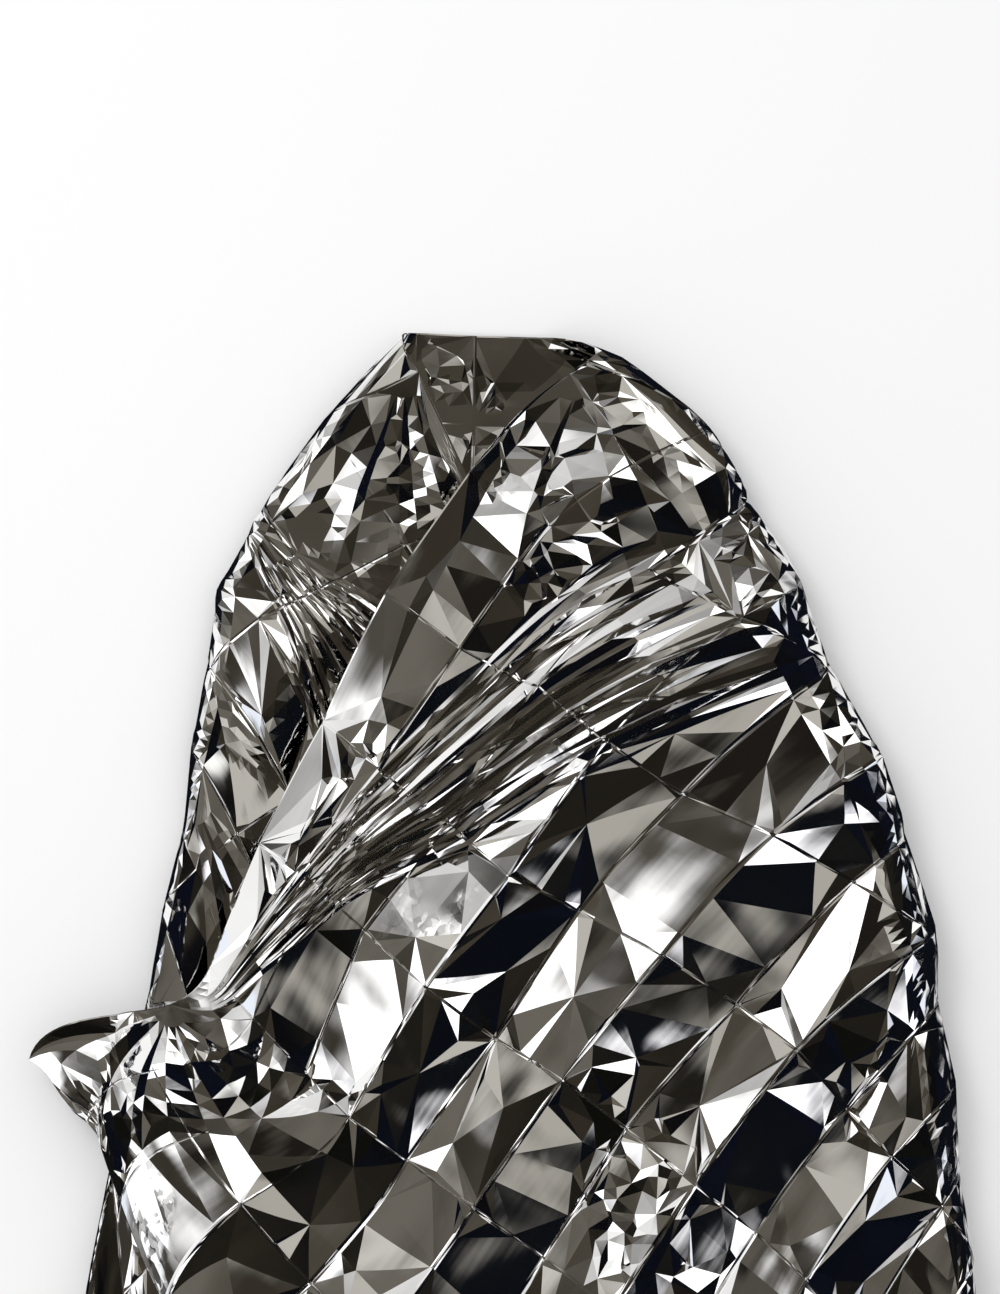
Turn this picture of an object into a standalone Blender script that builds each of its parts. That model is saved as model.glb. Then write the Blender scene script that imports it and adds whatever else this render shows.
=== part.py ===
"""Emergency foil blanket: one raw-cut rectangle of metallised film, lying flat, folded as it is worn.

The back of the wrap lies on the surface. Two slanting folds start at the neck: the under front comes over
from the left, and the over front comes over from the right and lies on top, its corner past the left side.
Metres, +Z up. The origin is under the middle of the folded blanket, on the surface that it lies on.
"""

import math

import bmesh
import bpy
import numpy as np
from mathutils import Vector
from mathutils.geometry import delaunay_2d_cdt

# The flat cut, and the grid of creases that its storage fold leaves
FLAT_WIDTH = 2.13
FLAT_LENGTH = 1.32
FILM = 0.0012
PANELS_ACROSS = 18
PANELS_DOWN = 20
PANEL_WIDTH = FLAT_WIDTH / PANELS_ACROSS
PANEL_LENGTH = FLAT_LENGTH / PANELS_DOWN

# The share of its flat size that the creased film still covers
TAKE_UP = 0.94

# The neck: how far along the top edge the left and the right fold start
LEFT_FOLD_START = 1.11
RIGHT_FOLD_START = 1.27
NECK_LEFT = np.array([-0.086, 0.0])
NECK_RIGHT = NECK_LEFT + np.array([TAKE_UP * (RIGHT_FOLD_START - LEFT_FOLD_START), 0.0])
LEFT_SLANT = math.radians(31)
RIGHT_SLANT = math.radians(27.5)
LEFT_RADIUS = 0.0115
RIGHT_RADIUS = 0.025

# Relief of the creases: the long ones along the sheet, the cross ones, and dents inside the panels
LONG_CREASE = 0.0075
CROSS_CREASE = 0.0030
DENT = 0.0065
BACK_SHARE = 0.30
UNDER_SHARE = 0.75
BEND_SHARE = 0.45
FLAT_BACK = 0.0004
DEEPEST = 0.014
HIGHEST = 0.022
UNDER_LIMIT = 0.005
SEED = 11

# Where the two folds lie to the left and right of the neck's middle line: out over the shoulders of the wrap,
# and drawn in by the gathers below them
SIDES = (
    # down, left, right
    (0.000, 0.080, 0.056),
    (0.016, 0.095, 0.100),
    (0.060, 0.132, 0.150),
    (0.120, 0.178, 0.195),
    (0.195, 0.215, 0.226),
    (0.262, 0.226, 0.258),
    (0.367, 0.238, 0.304),
    (0.465, 0.256, 0.325),
    (0.585, 0.282, 0.338),
    (0.723, 0.306, 0.350),
    (1.000, 0.410, 0.410),
    (1.250, 0.510, 0.480),
    (1.600, 0.600, 0.540),
)
SIDE_POWER = 2.0
SIDE_REACH = 1.12

# A patch of the back, round the middle, that lies quite flat on the surface
REST_RADIUS = 0.07
REST_RIM = 0.05

# Fans of pulled pleats: from the gathered place of the over front's edge to the right shoulder, and from
# the left shoulder over the under front. Places and reaches are on the flat sheet, angles are in degrees.
FANS = (
    # s, t, from, to, pleats, near, far, relief
    (RIGHT_FOLD_START + 0.700, 0.004, 11, 26, 4, 0.16, 0.58, 0.0048),
    (LEFT_FOLD_START - 0.085, 0.150, -24, 20, 4, 0.05, 0.25, 0.0040),
)
FAN_EDGE = math.radians(3)
FAN_END = 0.06
PLEAT_POINTS = 7

# The over front's corner past the gathered place: it spreads out past the left side and hangs a little
FLAP_START = 0.62
FLAP_DEPTH = (0.45, 0.36)
FLAP_SPREAD = (-0.150, 0.114)
TIP_SHARE = 0.77
TIP_DEPTH = 0.07
FLAP_DROOP = 0.009

# Where the springy film bulges up: a soft hump on the front, by its middle, radius and height
BILLOWS = (
    # x, y, radius, height
    (0.130, -0.260, 0.130, 0.012),
    (-0.010, -0.400, 0.110, 0.007),
    (0.160, -0.560, 0.140, 0.010),
    (-0.060, -0.640, 0.120, 0.008),
    (-0.170, -0.280, 0.070, 0.009),
    (0.180, -0.900, 0.180, 0.008),
)

# Long soft ridges and troughs of the fronts, from one place to another, with their half width and height
RIDGES = (
    # from x, y, to x, y, width, height
    (-0.028, -0.120, -0.176, -0.400, 0.018, 0.007),
    (0.015, -0.200, -0.125, -0.410, 0.020, -0.004),
    (0.215, -0.160, -0.190, -0.455, 0.028, 0.007),
    (0.225, -0.245, -0.120, -0.460, 0.024, -0.004),
    (-0.205, -0.470, 0.040, -0.432, 0.018, 0.006),
    (-0.200, -0.480, -0.165, -0.640, 0.016, 0.005),
    (-0.015, -0.435, -0.110, -0.640, 0.020, 0.006),
    (0.235, -0.205, 0.250, -0.410, 0.020, 0.006),
    (0.250, -0.420, 0.300, -0.600, 0.020, 0.006),
    (0.075, -0.520, 0.215, -0.330, 0.018, 0.005),
)

# The middle of the folded blanket, measured from between the neck's folds
CENTRE = (-0.0163, -0.7472)

COLLECTION = "emergency_foil_blanket"


def corner_heights():
    """Heights at the grid's crossings and at the middles of its panels, uneven as in used film."""
    draw = np.random.default_rng(SEED)
    crossings = (PANELS_ACROSS + 1, PANELS_DOWN + 1)
    along = LONG_CREASE * (-1.0) ** np.arange(PANELS_DOWN + 1)
    across = CROSS_CREASE * (-1.0) ** np.arange(PANELS_ACROSS + 1)
    heights = along[None, :] * draw.uniform(0.45, 1.35, crossings)
    heights += across[:, None] * draw.uniform(0.1, 1.5, crossings)
    heights += draw.normal(0.0, 0.0016, crossings)
    panels = (PANELS_ACROSS, PANELS_DOWN)
    dents = DENT * draw.choice((-1.0, 0.0, 1.0), panels, p=(0.3, 0.3, 0.4)) * draw.uniform(0.4, 1.0, panels)
    sideways = draw.normal(0.0, 0.0035, crossings + (2,))
    return heights, dents, sideways


HEIGHTS, DENTS, SIDEWAYS = corner_heights()


def panel_of(s, t):
    """The panel that a point of the flat sheet is in, and its place in that panel from 0 to 1."""
    u = np.clip(s / PANEL_WIDTH, 0.0, PANELS_ACROSS - 1e-9)
    v = np.clip(t / PANEL_LENGTH, 0.0, PANELS_DOWN - 1e-9)
    i, j = u.astype(int), v.astype(int)
    return i, j, u - i, v - j


def between_corners(values, i, j, fu, fv):
    """The value at a place in a panel, from the values at the panel's four corners."""
    if values.ndim == 3:
        fu, fv = fu[:, None], fv[:, None]
    low = values[i, j] * (1 - fu) + values[i + 1, j] * fu
    high = values[i, j + 1] * (1 - fu) + values[i + 1, j + 1] * fu
    return low * (1 - fv) + high * fv


def smooth(x):
    x = np.clip(x, 0.0, 1.0)
    return x * x * (3 - 2 * x)


def fan_pleats(fan, s, t):
    """How much of a fan of pulled pleats a point has, from 0 to 1, and the pleats' height there."""
    centre_s, centre_t, first, last, pleats, near, far, tall = fan
    reach = np.hypot(centre_s - s, t - centre_t)
    angle = np.arctan2(t - centre_t, centre_s - s)
    first, last = math.radians(first), math.radians(last)
    share = smooth((angle - first) / FAN_EDGE) * smooth((last - angle) / FAN_EDGE)
    share = share * smooth((reach - 0.4 * near) / near) * smooth((far + FAN_END / 2 - reach) / FAN_END)
    wave = (angle - first) / (last - first) * pleats
    return share, tall * np.minimum(1.0, reach / (2 * near)) * (4 * np.abs(wave - np.floor(wave) - 0.5) - 1)


def relief(s, t):
    """Height of the creased film over its own mean surface."""
    i, j, fu, fv = panel_of(s, t)
    height = between_corners(HEIGHTS, i, j, fu, fv)
    rim = np.maximum(np.abs(2 * fu - 1), np.abs(2 * fv - 1))
    height = height + DENTS[i, j] * (1 - rim)
    for fan in FANS:
        share, pleat = fan_pleats(fan, s, t)
        height = height * (1 - 0.7 * share) + pleat * share
    return height


def bent(e, radius):
    """Where the film near a fold comes to, measured across the fold, and the angle it has turned through."""
    along = e + math.pi * radius / 2
    angle = np.clip(along / radius, 0.0, math.pi)
    past = np.maximum(along - math.pi * radius, 0.0)
    return np.where(along > 0, radius * (np.sin(angle) - math.pi / 2) - past, e), angle


def settled(x, down):
    """Moves a point sideways, so that the folds lie where the sides of the wrap are."""
    rows = np.array(SIDES)
    for side, neck, slant, radius, column in (
        (-1, -NECK_LEFT[0], LEFT_SLANT, LEFT_RADIUS, 1),
        (1, NECK_RIGHT[0], RIGHT_SLANT, RIGHT_RADIUS, 2),
    ):
        straight = neck + np.maximum(down, 0.0) * math.tan(slant) - (math.pi / 2 - 1) * radius
        wanted = np.interp(down, rows[:, 0], rows[:, column])
        share = np.clip(side * x / straight, 0.0, SIDE_REACH) ** SIDE_POWER
        x = x + side * (wanted - straight) * share
    return x


def rise_of_front(plane):
    """How far the front bulges up at a place, from its humps, ridges and troughs."""
    rise = np.zeros(len(plane))
    for middle_x, middle_y, radius, tall in BILLOWS:
        rise += tall * np.exp(-((plane[:, 0] - middle_x) ** 2 + (plane[:, 1] - middle_y) ** 2) / radius ** 2)
    for from_x, from_y, to_x, to_y, width, tall in RIDGES:
        begin, way = np.array([from_x, from_y]), np.array([to_x - from_x, to_y - from_y])
        share = np.clip((plane - begin) @ way / (way @ way), 0.0, 1.0)
        away = np.linalg.norm(plane - begin - share[:, None] * way, axis=1)
        rise += tall * np.exp(-(away / width) ** 2)
    return rise


def folded(s, t, height):
    """The place in space of points of the flat sheet, whose film stands that high over its mean surface."""
    i, j, fu, fv = panel_of(s, t)
    wander = between_corners(SIDEWAYS, i, j, fu, fv)
    x = NECK_LEFT[0] + TAKE_UP * (s - LEFT_FOLD_START) + wander[:, 0]
    y = -TAKE_UP * t + wander[:, 1]
    flat = np.stack([x, y], axis=1)
    out_left = np.array([-math.cos(LEFT_SLANT), math.sin(LEFT_SLANT)])
    out_right = np.array([math.cos(RIGHT_SLANT), math.sin(RIGHT_SLANT)])
    past_left = (flat - NECK_LEFT) @ out_left
    past_right = (flat - NECK_RIGHT) @ out_right
    to_left, turn_left = bent(past_left, LEFT_RADIUS)
    to_right, turn_right = bent(past_right, RIGHT_RADIUS)
    plane = flat + (to_left - past_left)[:, None] * out_left + (to_right - past_right)[:, None] * out_right
    level = LEFT_RADIUS * (1 - np.cos(turn_left)) + RIGHT_RADIUS * (1 - np.cos(turn_right))

    # Relief stands out from the film, which has turned over past a fold
    over_left, over_right = smooth(turn_left / math.pi), smooth(turn_right / math.pi)
    share = BACK_SHARE + (UNDER_SHARE - BACK_SHARE) * over_left + (1 - BACK_SHARE) * over_right
    in_bend = np.maximum(np.sin(turn_left), np.sin(turn_right))
    height = height * share * (1 - (1 - BEND_SHARE) * in_bend)
    on_surface = (1 - smooth(turn_left / 0.5)) * (1 - smooth(turn_right / 0.5))
    from_middle = np.hypot(flat[:, 0] - CENTRE[0], flat[:, 1] - CENTRE[1])
    height = height * (1 - on_surface * (1 - smooth((from_middle - REST_RADIUS) / REST_RIM)))
    height = np.where(on_surface > 0, np.maximum(height, height * (1 - on_surface)), height)
    height = np.where(on_surface > 0.99, np.where(height < FLAT_BACK, 0.0, height), height)
    over_edge = np.array([math.cos(2 * RIGHT_SLANT - math.pi / 2), math.sin(2 * RIGHT_SLANT - math.pi / 2)])
    covered = smooth(((plane - NECK_RIGHT) @ over_edge + 0.04) / 0.04) * over_left
    lowest = np.where(over_left > 0.5, -HIGHEST * (1 - covered) - UNDER_LIMIT * covered, -HIGHEST)
    highest = np.where(over_left > 0.5, UNDER_LIMIT, DEEPEST)
    height = np.clip(height, lowest, highest)
    level = level + rise_of_front(plane) * (over_right + over_left * (1 - covered))
    past_pinch = smooth((s - RIGHT_FOLD_START - FLAP_START) / (FLAT_WIDTH - RIGHT_FOLD_START - FLAP_START))
    flap = (past_pinch * over_right)[:, None] * (1 - smooth(t[:, None] / np.array(FLAP_DEPTH)))
    flap[:, 0] *= TIP_SHARE + (1 - TIP_SHARE) * smooth(t / TIP_DEPTH)
    plane = plane + flap * np.array(FLAP_SPREAD)
    level = level - FLAP_DROOP * flap[:, 1]
    normal = np.zeros((len(s), 3))
    normal[:, :2] = -np.sin(turn_left)[:, None] * out_left - np.sin(turn_right)[:, None] * out_right
    normal[:, 2] = np.cos(turn_left + turn_right)
    space = np.column_stack([plane, level]) + height[:, None] * normal
    space[:, 2] = np.maximum(space[:, 2], 0.0)
    space[:, 0] = settled(space[:, 0], -space[:, 1])
    return space - np.array([CENTRE[0], CENTRE[1], 0.0])


def in_fan(s, t):
    at = np.array([[s], [t]])
    return max(fan_pleats(fan, *at)[0][0] for fan in FANS) > 0.1


def grid_segments():
    """The storage creases between neighbouring crossings, left out where a fan of pleats has pulled them flat."""
    segments = []
    for i in range(PANELS_ACROSS + 1):
        for j in range(PANELS_DOWN + 1):
            for step_i, step_j in ((1, 0), (0, 1)):
                if i + step_i > PANELS_ACROSS or j + step_j > PANELS_DOWN:
                    continue
                begin = (i * PANEL_WIDTH, j * PANEL_LENGTH)
                end = ((i + step_i) * PANEL_WIDTH, (j + step_j) * PANEL_LENGTH)
                if not in_fan((begin[0] + end[0]) / 2, (begin[1] + end[1]) / 2):
                    segments.append([begin, end])
    return segments


def fold_lines():
    """Straight score lines of the flat sheet: the storage grid, both folds' bends and the pulled pleats."""
    lines = grid_segments()
    for start, slant, radius, side, steps in (
        (LEFT_FOLD_START, LEFT_SLANT, LEFT_RADIUS, -1, 3),
        (RIGHT_FOLD_START, RIGHT_SLANT, RIGHT_RADIUS, 1, 4),
    ):
        for step in range(steps + 1):
            shift = math.pi * radius * (step / steps - 0.5) / TAKE_UP / math.cos(slant)
            begin = (start + side * shift, 0.0)
            end = (start + side * (shift + FLAT_LENGTH * math.tan(slant)), FLAT_LENGTH)
            lines.append([begin, end])
    for centre_s, centre_t, first, last, pleats, near, far, _ in FANS:
        for angle in np.radians(np.linspace(first, last, 2 * pleats + 1)):
            lines.append([
                (centre_s - reach * math.cos(angle), centre_t + reach * math.sin(angle))
                for reach in np.linspace(near, far, PLEAT_POINTS)
            ])
    return lines


def scored_sheet():
    """Points and triangles of the flat sheet, with every score line along edges."""
    points, edges = [], []
    for line in fold_lines():
        first = len(points)
        points += [Vector(point) for point in line]
        edges += [(k, k + 1) for k in range(first, len(points) - 1)]
    for i in range(PANELS_ACROSS):
        for j in range(PANELS_DOWN):
            middle = Vector(((i + 0.5) * PANEL_WIDTH, (j + 0.5) * PANEL_LENGTH))
            if not in_fan(*middle):
                points.append(middle)
    found = delaunay_2d_cdt(points, edges, [], 0, 0.004)
    return np.array([tuple(point) for point in found[0]]), found[2]


def film_material():
    material = bpy.data.materials.new("silver_foil")
    material.use_nodes = True
    shader = material.node_tree.nodes["Principled BSDF"]
    shader.inputs["Base Color"].default_value = (0.62, 0.60, 0.57, 1)
    shader.inputs["Metallic"].default_value = 1.0
    shader.inputs["Roughness"].default_value = 0.12
    return material


def add_foil_sheet(collection):
    flat, faces = scored_sheet()
    space = folded(flat[:, 0], flat[:, 1], relief(flat[:, 0], flat[:, 1]))
    mesh = bpy.data.meshes.new("foil_sheet")
    mesh.from_pydata([tuple(point) for point in space], [], [tuple(reversed(face)) for face in faces])
    shape = bmesh.new()
    shape.from_mesh(mesh)
    bmesh.ops.triangulate(shape, faces=shape.faces)
    shape.to_mesh(mesh)
    shape.free()
    mesh.materials.append(film_material())
    sheet = bpy.data.objects.new("foil_sheet", mesh)
    collection.objects.link(sheet)
    thickness = sheet.modifiers.new("film", "SOLIDIFY")
    thickness.thickness = FILM
    thickness.offset = 1.0
    return sheet


def main():
    for existing in list(bpy.data.objects):
        bpy.data.objects.remove(existing, do_unlink=True)
    collection = bpy.data.collections.new(COLLECTION)
    bpy.context.scene.collection.children.link(collection)
    add_foil_sheet(collection)


main()
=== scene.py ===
"""Looks of the emergency foil blanket: one creased sheet of silver film, folded as a wrap and lying flat.

The sheet is scored in its flat state along its storage creases, pulled pleats and dents, then folded over
the same two slanting folds as its solid. Metres, in the solid's own frame.
"""

import math

import bpy
import numpy as np
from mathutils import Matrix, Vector
from mathutils.geometry import delaunay_2d_cdt


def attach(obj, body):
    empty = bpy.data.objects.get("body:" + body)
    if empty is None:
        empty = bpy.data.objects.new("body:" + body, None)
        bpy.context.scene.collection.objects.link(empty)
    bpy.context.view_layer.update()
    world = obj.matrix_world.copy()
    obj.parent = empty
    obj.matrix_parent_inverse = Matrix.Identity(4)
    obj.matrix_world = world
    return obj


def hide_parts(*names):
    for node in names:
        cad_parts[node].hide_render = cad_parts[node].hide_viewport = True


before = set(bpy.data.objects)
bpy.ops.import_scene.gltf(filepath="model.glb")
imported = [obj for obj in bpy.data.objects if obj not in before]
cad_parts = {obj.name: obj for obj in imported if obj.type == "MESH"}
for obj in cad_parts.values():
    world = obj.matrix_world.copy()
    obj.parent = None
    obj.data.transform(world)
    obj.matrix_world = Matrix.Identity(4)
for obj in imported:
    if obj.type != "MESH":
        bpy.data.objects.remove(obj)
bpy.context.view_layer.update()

# The flat cut, its storage creases and how it is folded, as in the solid, whose film is thicker
FLAT_WIDTH = 2.13
FLAT_LENGTH = 1.32
FILM = 0.0005
PANELS_ACROSS = 18
PANELS_DOWN = 20
PANEL_WIDTH = FLAT_WIDTH / PANELS_ACROSS
PANEL_LENGTH = FLAT_LENGTH / PANELS_DOWN
TAKE_UP = 0.94
LEFT_FOLD_START = 1.11
RIGHT_FOLD_START = 1.27
NECK_LEFT = np.array([-0.086, 0.0])
NECK_RIGHT = NECK_LEFT + np.array([TAKE_UP * (RIGHT_FOLD_START - LEFT_FOLD_START), 0.0])
LEFT_SLANT = math.radians(31)
RIGHT_SLANT = math.radians(27.5)
OUT_LEFT = np.array([-math.cos(LEFT_SLANT), math.sin(LEFT_SLANT)])
OUT_RIGHT = np.array([math.cos(RIGHT_SLANT), math.sin(RIGHT_SLANT)])
EDGE_SLOPE = 2 * RIGHT_SLANT - math.pi / 2
OVER_EDGE = np.array([math.cos(EDGE_SLOPE), math.sin(EDGE_SLOPE)])
LEFT_RADIUS = 0.0115
RIGHT_RADIUS = 0.025
LONG_CREASE = 0.0075
LONG_CREASE_RANGE = (0.45, 1.35)
CROSS_CREASE = 0.0030
CROSS_CREASE_RANGE = (0.1, 1.5)
CROSSING_NOISE = 0.0016
DENT = 0.0065
DENT_CHANCES = (0.3, 0.3, 0.4)
DENT_RANGE = (0.4, 1.0)
WANDER = 0.0035
BACK_SHARE = 0.30
UNDER_SHARE = 0.75
BEND_SHARE = 0.45
FLAT_BACK = 0.0004
LIFTED_TURN = 0.5
LIES_FLAT = 0.99
TURNED_OVER = 0.5
COVER_EASE = 0.04
DEEPEST = 0.014
HIGHEST = 0.022
UNDER_LIMIT = 0.005
SEED = 11
SIDES = (
    # down, left, right
    (0.000, 0.080, 0.056),
    (0.016, 0.095, 0.100),
    (0.060, 0.132, 0.150),
    (0.120, 0.178, 0.195),
    (0.195, 0.215, 0.226),
    (0.262, 0.226, 0.258),
    (0.367, 0.238, 0.304),
    (0.465, 0.256, 0.325),
    (0.585, 0.282, 0.338),
    (0.723, 0.306, 0.350),
    (1.000, 0.410, 0.410),
    (1.250, 0.510, 0.480),
    (1.600, 0.600, 0.540),
)
SIDE_POWER = 2.0
SIDE_REACH = 1.12
REST_RADIUS = 0.07
REST_RIM = 0.05
FANS = (
    # s, t, from, to, pleats, near, far, relief
    (RIGHT_FOLD_START + 0.700, 0.004, 11, 26, 4, 0.16, 0.58, 0.0048),
    (LEFT_FOLD_START - 0.085, 0.150, -24, 20, 4, 0.05, 0.25, 0.0040),
)
FAN_EDGE = math.radians(3)
FAN_BEGIN = 0.4
FAN_END = 0.06
FAN_SMOOTHS = 0.7
FLAP_START = 0.62
FLAP_DEPTH = (0.45, 0.36)
FLAP_SPREAD = (-0.150, 0.114)
TIP_SHARE = 0.77
TIP_DEPTH = 0.07
FLAP_DROOP = 0.009
BILLOWS = (
    # x, y, radius, height
    (0.130, -0.260, 0.130, 0.012),
    (-0.010, -0.400, 0.110, 0.007),
    (0.160, -0.560, 0.140, 0.010),
    (-0.060, -0.640, 0.120, 0.008),
    (-0.170, -0.280, 0.070, 0.009),
    (0.180, -0.900, 0.180, 0.008),
)
RIDGES = (
    # from x, y, to x, y, width, height
    (-0.028, -0.120, -0.176, -0.400, 0.018, 0.007),
    (0.015, -0.200, -0.125, -0.410, 0.020, -0.004),
    (0.215, -0.160, -0.190, -0.455, 0.028, 0.007),
    (0.225, -0.245, -0.120, -0.460, 0.024, -0.004),
    (-0.205, -0.470, 0.040, -0.432, 0.018, 0.006),
    (-0.200, -0.480, -0.165, -0.640, 0.016, 0.005),
    (-0.015, -0.435, -0.110, -0.640, 0.020, 0.006),
    (0.235, -0.205, 0.250, -0.410, 0.020, 0.006),
    (0.250, -0.420, 0.300, -0.600, 0.020, 0.006),
    (0.075, -0.520, 0.215, -0.330, 0.018, 0.005),
)
CENTRE = (-0.0163, -0.7472)

# Finer folds that only the looks have
FINE_SEED = 5
VISIBLE_SPACING = 0.0128
HIDDEN_SPACING = 0.040
SEEN_UNDER_EDGE = 0.05
MERGE_DISTANCE = 0.0012
LEFT_BEND_STEPS = 3
RIGHT_BEND_STEPS = 4
BEAD_STEPS = 4
BEAD_DRIFT = 0.07
BEAD_RANGE = (0.5, 1.5)
LONG_BEAD = (0.0022, 0.0015)
BEAD_SHARES = (-0.8, -0.3, 0.3, 0.7, 1.0, 1.5)
CROSS_BEAD = (0.0013, 0.0007)
FACET_HEIGHT = 0.0056
FACET_RANGE = (0.5, 1.3)
FACET_DRIFT = 0.10
PANEL_CORNERS = ((0, 0, 0), (1, 0, 0), (1, 1, 0), (0, 1, 0))
FACETS = (
    # chance, points (u, v, push), lines between points; 0 to 3 are the panel's corners, anticlockwise
    (0.42, (), ()),
    (0.22, ((0.56, 0.30, 1.0), (0.34, 0.72, -0.7)), ((0, 4), (4, 1), (0, 5), (5, 3), (4, 2), (5, 2))),
    (0.16, ((0.52, 0.44, 1.0),), ((0, 4), (1, 4), (2, 4), (3, 4))),
    (0.16, ((0.24, 0.52, 0.8), (0.78, 0.46, 0.8)), ((0, 4), (3, 4), (4, 5), (5, 1), (5, 2))),
    (0.12, ((0.47, 0.55, 0.6),), ((0, 4), (4, 2))),
    (0.10, ((0.44, 0.0, 0.0), (0.0, 0.62, 0.0), (0.70, 0.66, -0.5)), ((4, 5), (4, 6), (6, 2))),
)
STAR_CHANCE = 0.5
STAR_HEIGHT = 0.0040
STAR_REACH = (0.010, 0.042)
STAR_RIDGES = (3, 6)
STAR_RANGE = (0.4, 1.3)
CRINKLES = (
    # x, y, radius across, radius along, turn, share of film crumpled
    (-0.122, -0.372, 0.020, 0.080, 58, 0.85),
    (0.052, -0.165, 0.024, 0.060, 50, 0.80),
    (0.108, -0.665, 0.045, 0.090, -75, 0.60),
    (0.200, -0.150, 0.030, 0.060, 40, 0.75),
    (-0.070, -0.060, 0.014, 0.080, 75, 0.80),
    (0.010, -0.075, 0.016, 0.085, -55, 0.80),
    (0.090, -0.050, 0.030, 0.070, 60, 0.55),
    (-0.200, -0.170, 0.022, 0.050, 60, 0.55),
    (-0.300, -0.610, 0.030, 0.040, 20, 0.50),
    (0.270, -0.560, 0.016, 0.050, 65, 0.60),
)
CRINKLE_GRAIN = 0.0064
CRINKLE_HEIGHT = 0.0013
CRINKLE_CORE = 0.5
CRINKLE_TURNS = (118.0, 141.0)
CRINKLE_PHASES = (1.3, -0.7)
CRINKLE_SHEAR = 2.0
CRINKLE_VARIETY = 0.75
PILLOW = 0.0002
PILLOW_PEAK = 16
RIPPLES = 7
RIPPLE = 0.00002
RIPPLE_TURNS = 60
RIPPLE_SHIFT = 6
FINE_PLEATS = 3
COLLAR_FANS = (
    # s, t, from, to, pleats, near, far, relief
    (RIGHT_FOLD_START + 0.045, 0.006, 126, 174, 2, 0.020, 0.200, 0.0048),
    (LEFT_FOLD_START - 0.040, 0.006, 4, 54, 3, 0.020, 0.220, 0.0048),
    (LEFT_FOLD_START - 0.225, 0.360, -24, 26, 3, 0.030, 0.220, 0.0036),
    (RIGHT_FOLD_START + 0.695, 0.006, 62, 172, 5, 0.020, 0.230, 0.0060),
)
NECK_DEPTH = 0.16
FINE_PLEAT_RELIEF = 0.0020
FINE_PLEAT_RANGE = (0.3, 1.4)
FINE_PLEAT_DRIFT = 0.25
PLEAT_POINTS = 9
PLEAT_EASE = 0.07
RIM = 0.002
GATHER_START = 0.35
GATHER_DRIFT = 0.4
GATHER_LENGTH = (0.45, 1.0)
GATHER_RANGE = (0.2, 1.5)
CREASE_ANGLE = math.radians(1.5)

# The film's finish on its flat cut. A noise is its scale, its detail and, where it has one, its stretch.
WAVE_NOISE = (15.0, 1.0)
WAVE_HEIGHT = 1.6
PULLED_NOISE = (60.0, 2.0, (0.12, 1.0, 1.0))
PULLED_SHARE = 0.04
CRUMPLED_NOISE = (6.0, 6.0, (1.0, 1.4, 1.0))
CRUMPLED_FROM = 0.63
CRUMPLED_FULL = 0.68
CELLS = ((190.0, (0.25, 1.0, 1.0)), (120.0, (1.0, 0.4, 1.0)))
CELL_TURN = 0.5
CELL_LEAN = 0.035
SHAKE_SCALE = 70.0
SHAKE_REACH = 0.012
WORN_NOISE = (11.0, 2.0)
WORN_FROM = 0.40
WORN_FULL = 0.62
LINE_HALF_WIDTH = 0.0011
LINE_HEIGHT = -0.25
MILLIMETRE = 0.001
HAZE_NOISE = (12.0, 4.0)
CLEAN_ROUGHNESS = 0.02
HAZE_ROUGHNESS = 0.035
CRUMPLED_ROUGHNESS = 0.03
WORN_ROUGHNESS = 0.08
FILM_TONE = (0.93, 0.925, 0.915)
WORN_TONE = (0.80, 0.785, 0.76)
WORN_SHARE = 0.5

# The photograph's frame, and where the neck of the wrap is in it
FRAME_PIXELS = (1000, 1294)
NECK_PIXEL = (500, 330)
METRES_A_PIXEL = 0.00075
CAMERA_TILT = math.radians(8)
CAMERA_DISTANCE = 2.6
TARGET_HEIGHT = 0.03
SENSOR = 36.0

# The studio. A panel's azimuth, its lean from straight up, its turn and its half sides are in degrees.
FLOOR_SIZE = 12.0
FLOOR_DROP = 0.0005
FLOOR_ROUGHNESS = 0.9
FLOOR_TONE = (0.86, 0.86, 0.86)
# Painted reflection: the floor's colour in the film's reflections is painted dark, with painted lit patches
# from a noise
FLOOR_PAINTED_DARK_IN_REFLECTIONS = (0.004, 0.005, 0.008)
PAINTED_LIT_NOISE = (9.0, 3.0)
PAINTED_LIT_FROM = 0.54
PAINTED_LIT_FULL = 0.60
EVEN_LIGHT = (0.92, 0.92, 0.92)
KEY_PLACE = (-1.2, 1.4, 2.6)
KEY_POWER = 22.0
KEY_SIZE = 1.2
DRIFT_NOISE = (1.6, 1.0)
DRIFT = 0.12
IN_FRONT = 0.05
SURROUND_WAY = (-0.80, 0.60, 0.05)
SURROUND_TONES = (
    (0.0, (0.002, 0.003, 0.006)),
    (0.25, (0.005, 0.0045, 0.004)),
    (0.40, (0.013, 0.0115, 0.0085)),
    (0.50, (0.034, 0.029, 0.021)),
    (0.58, (0.064, 0.056, 0.043)),
    (0.68, (0.145, 0.134, 0.114)),
    (0.80, (0.036, 0.031, 0.024)),
    (1.0, (0.003, 0.004, 0.006)),
)
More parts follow.
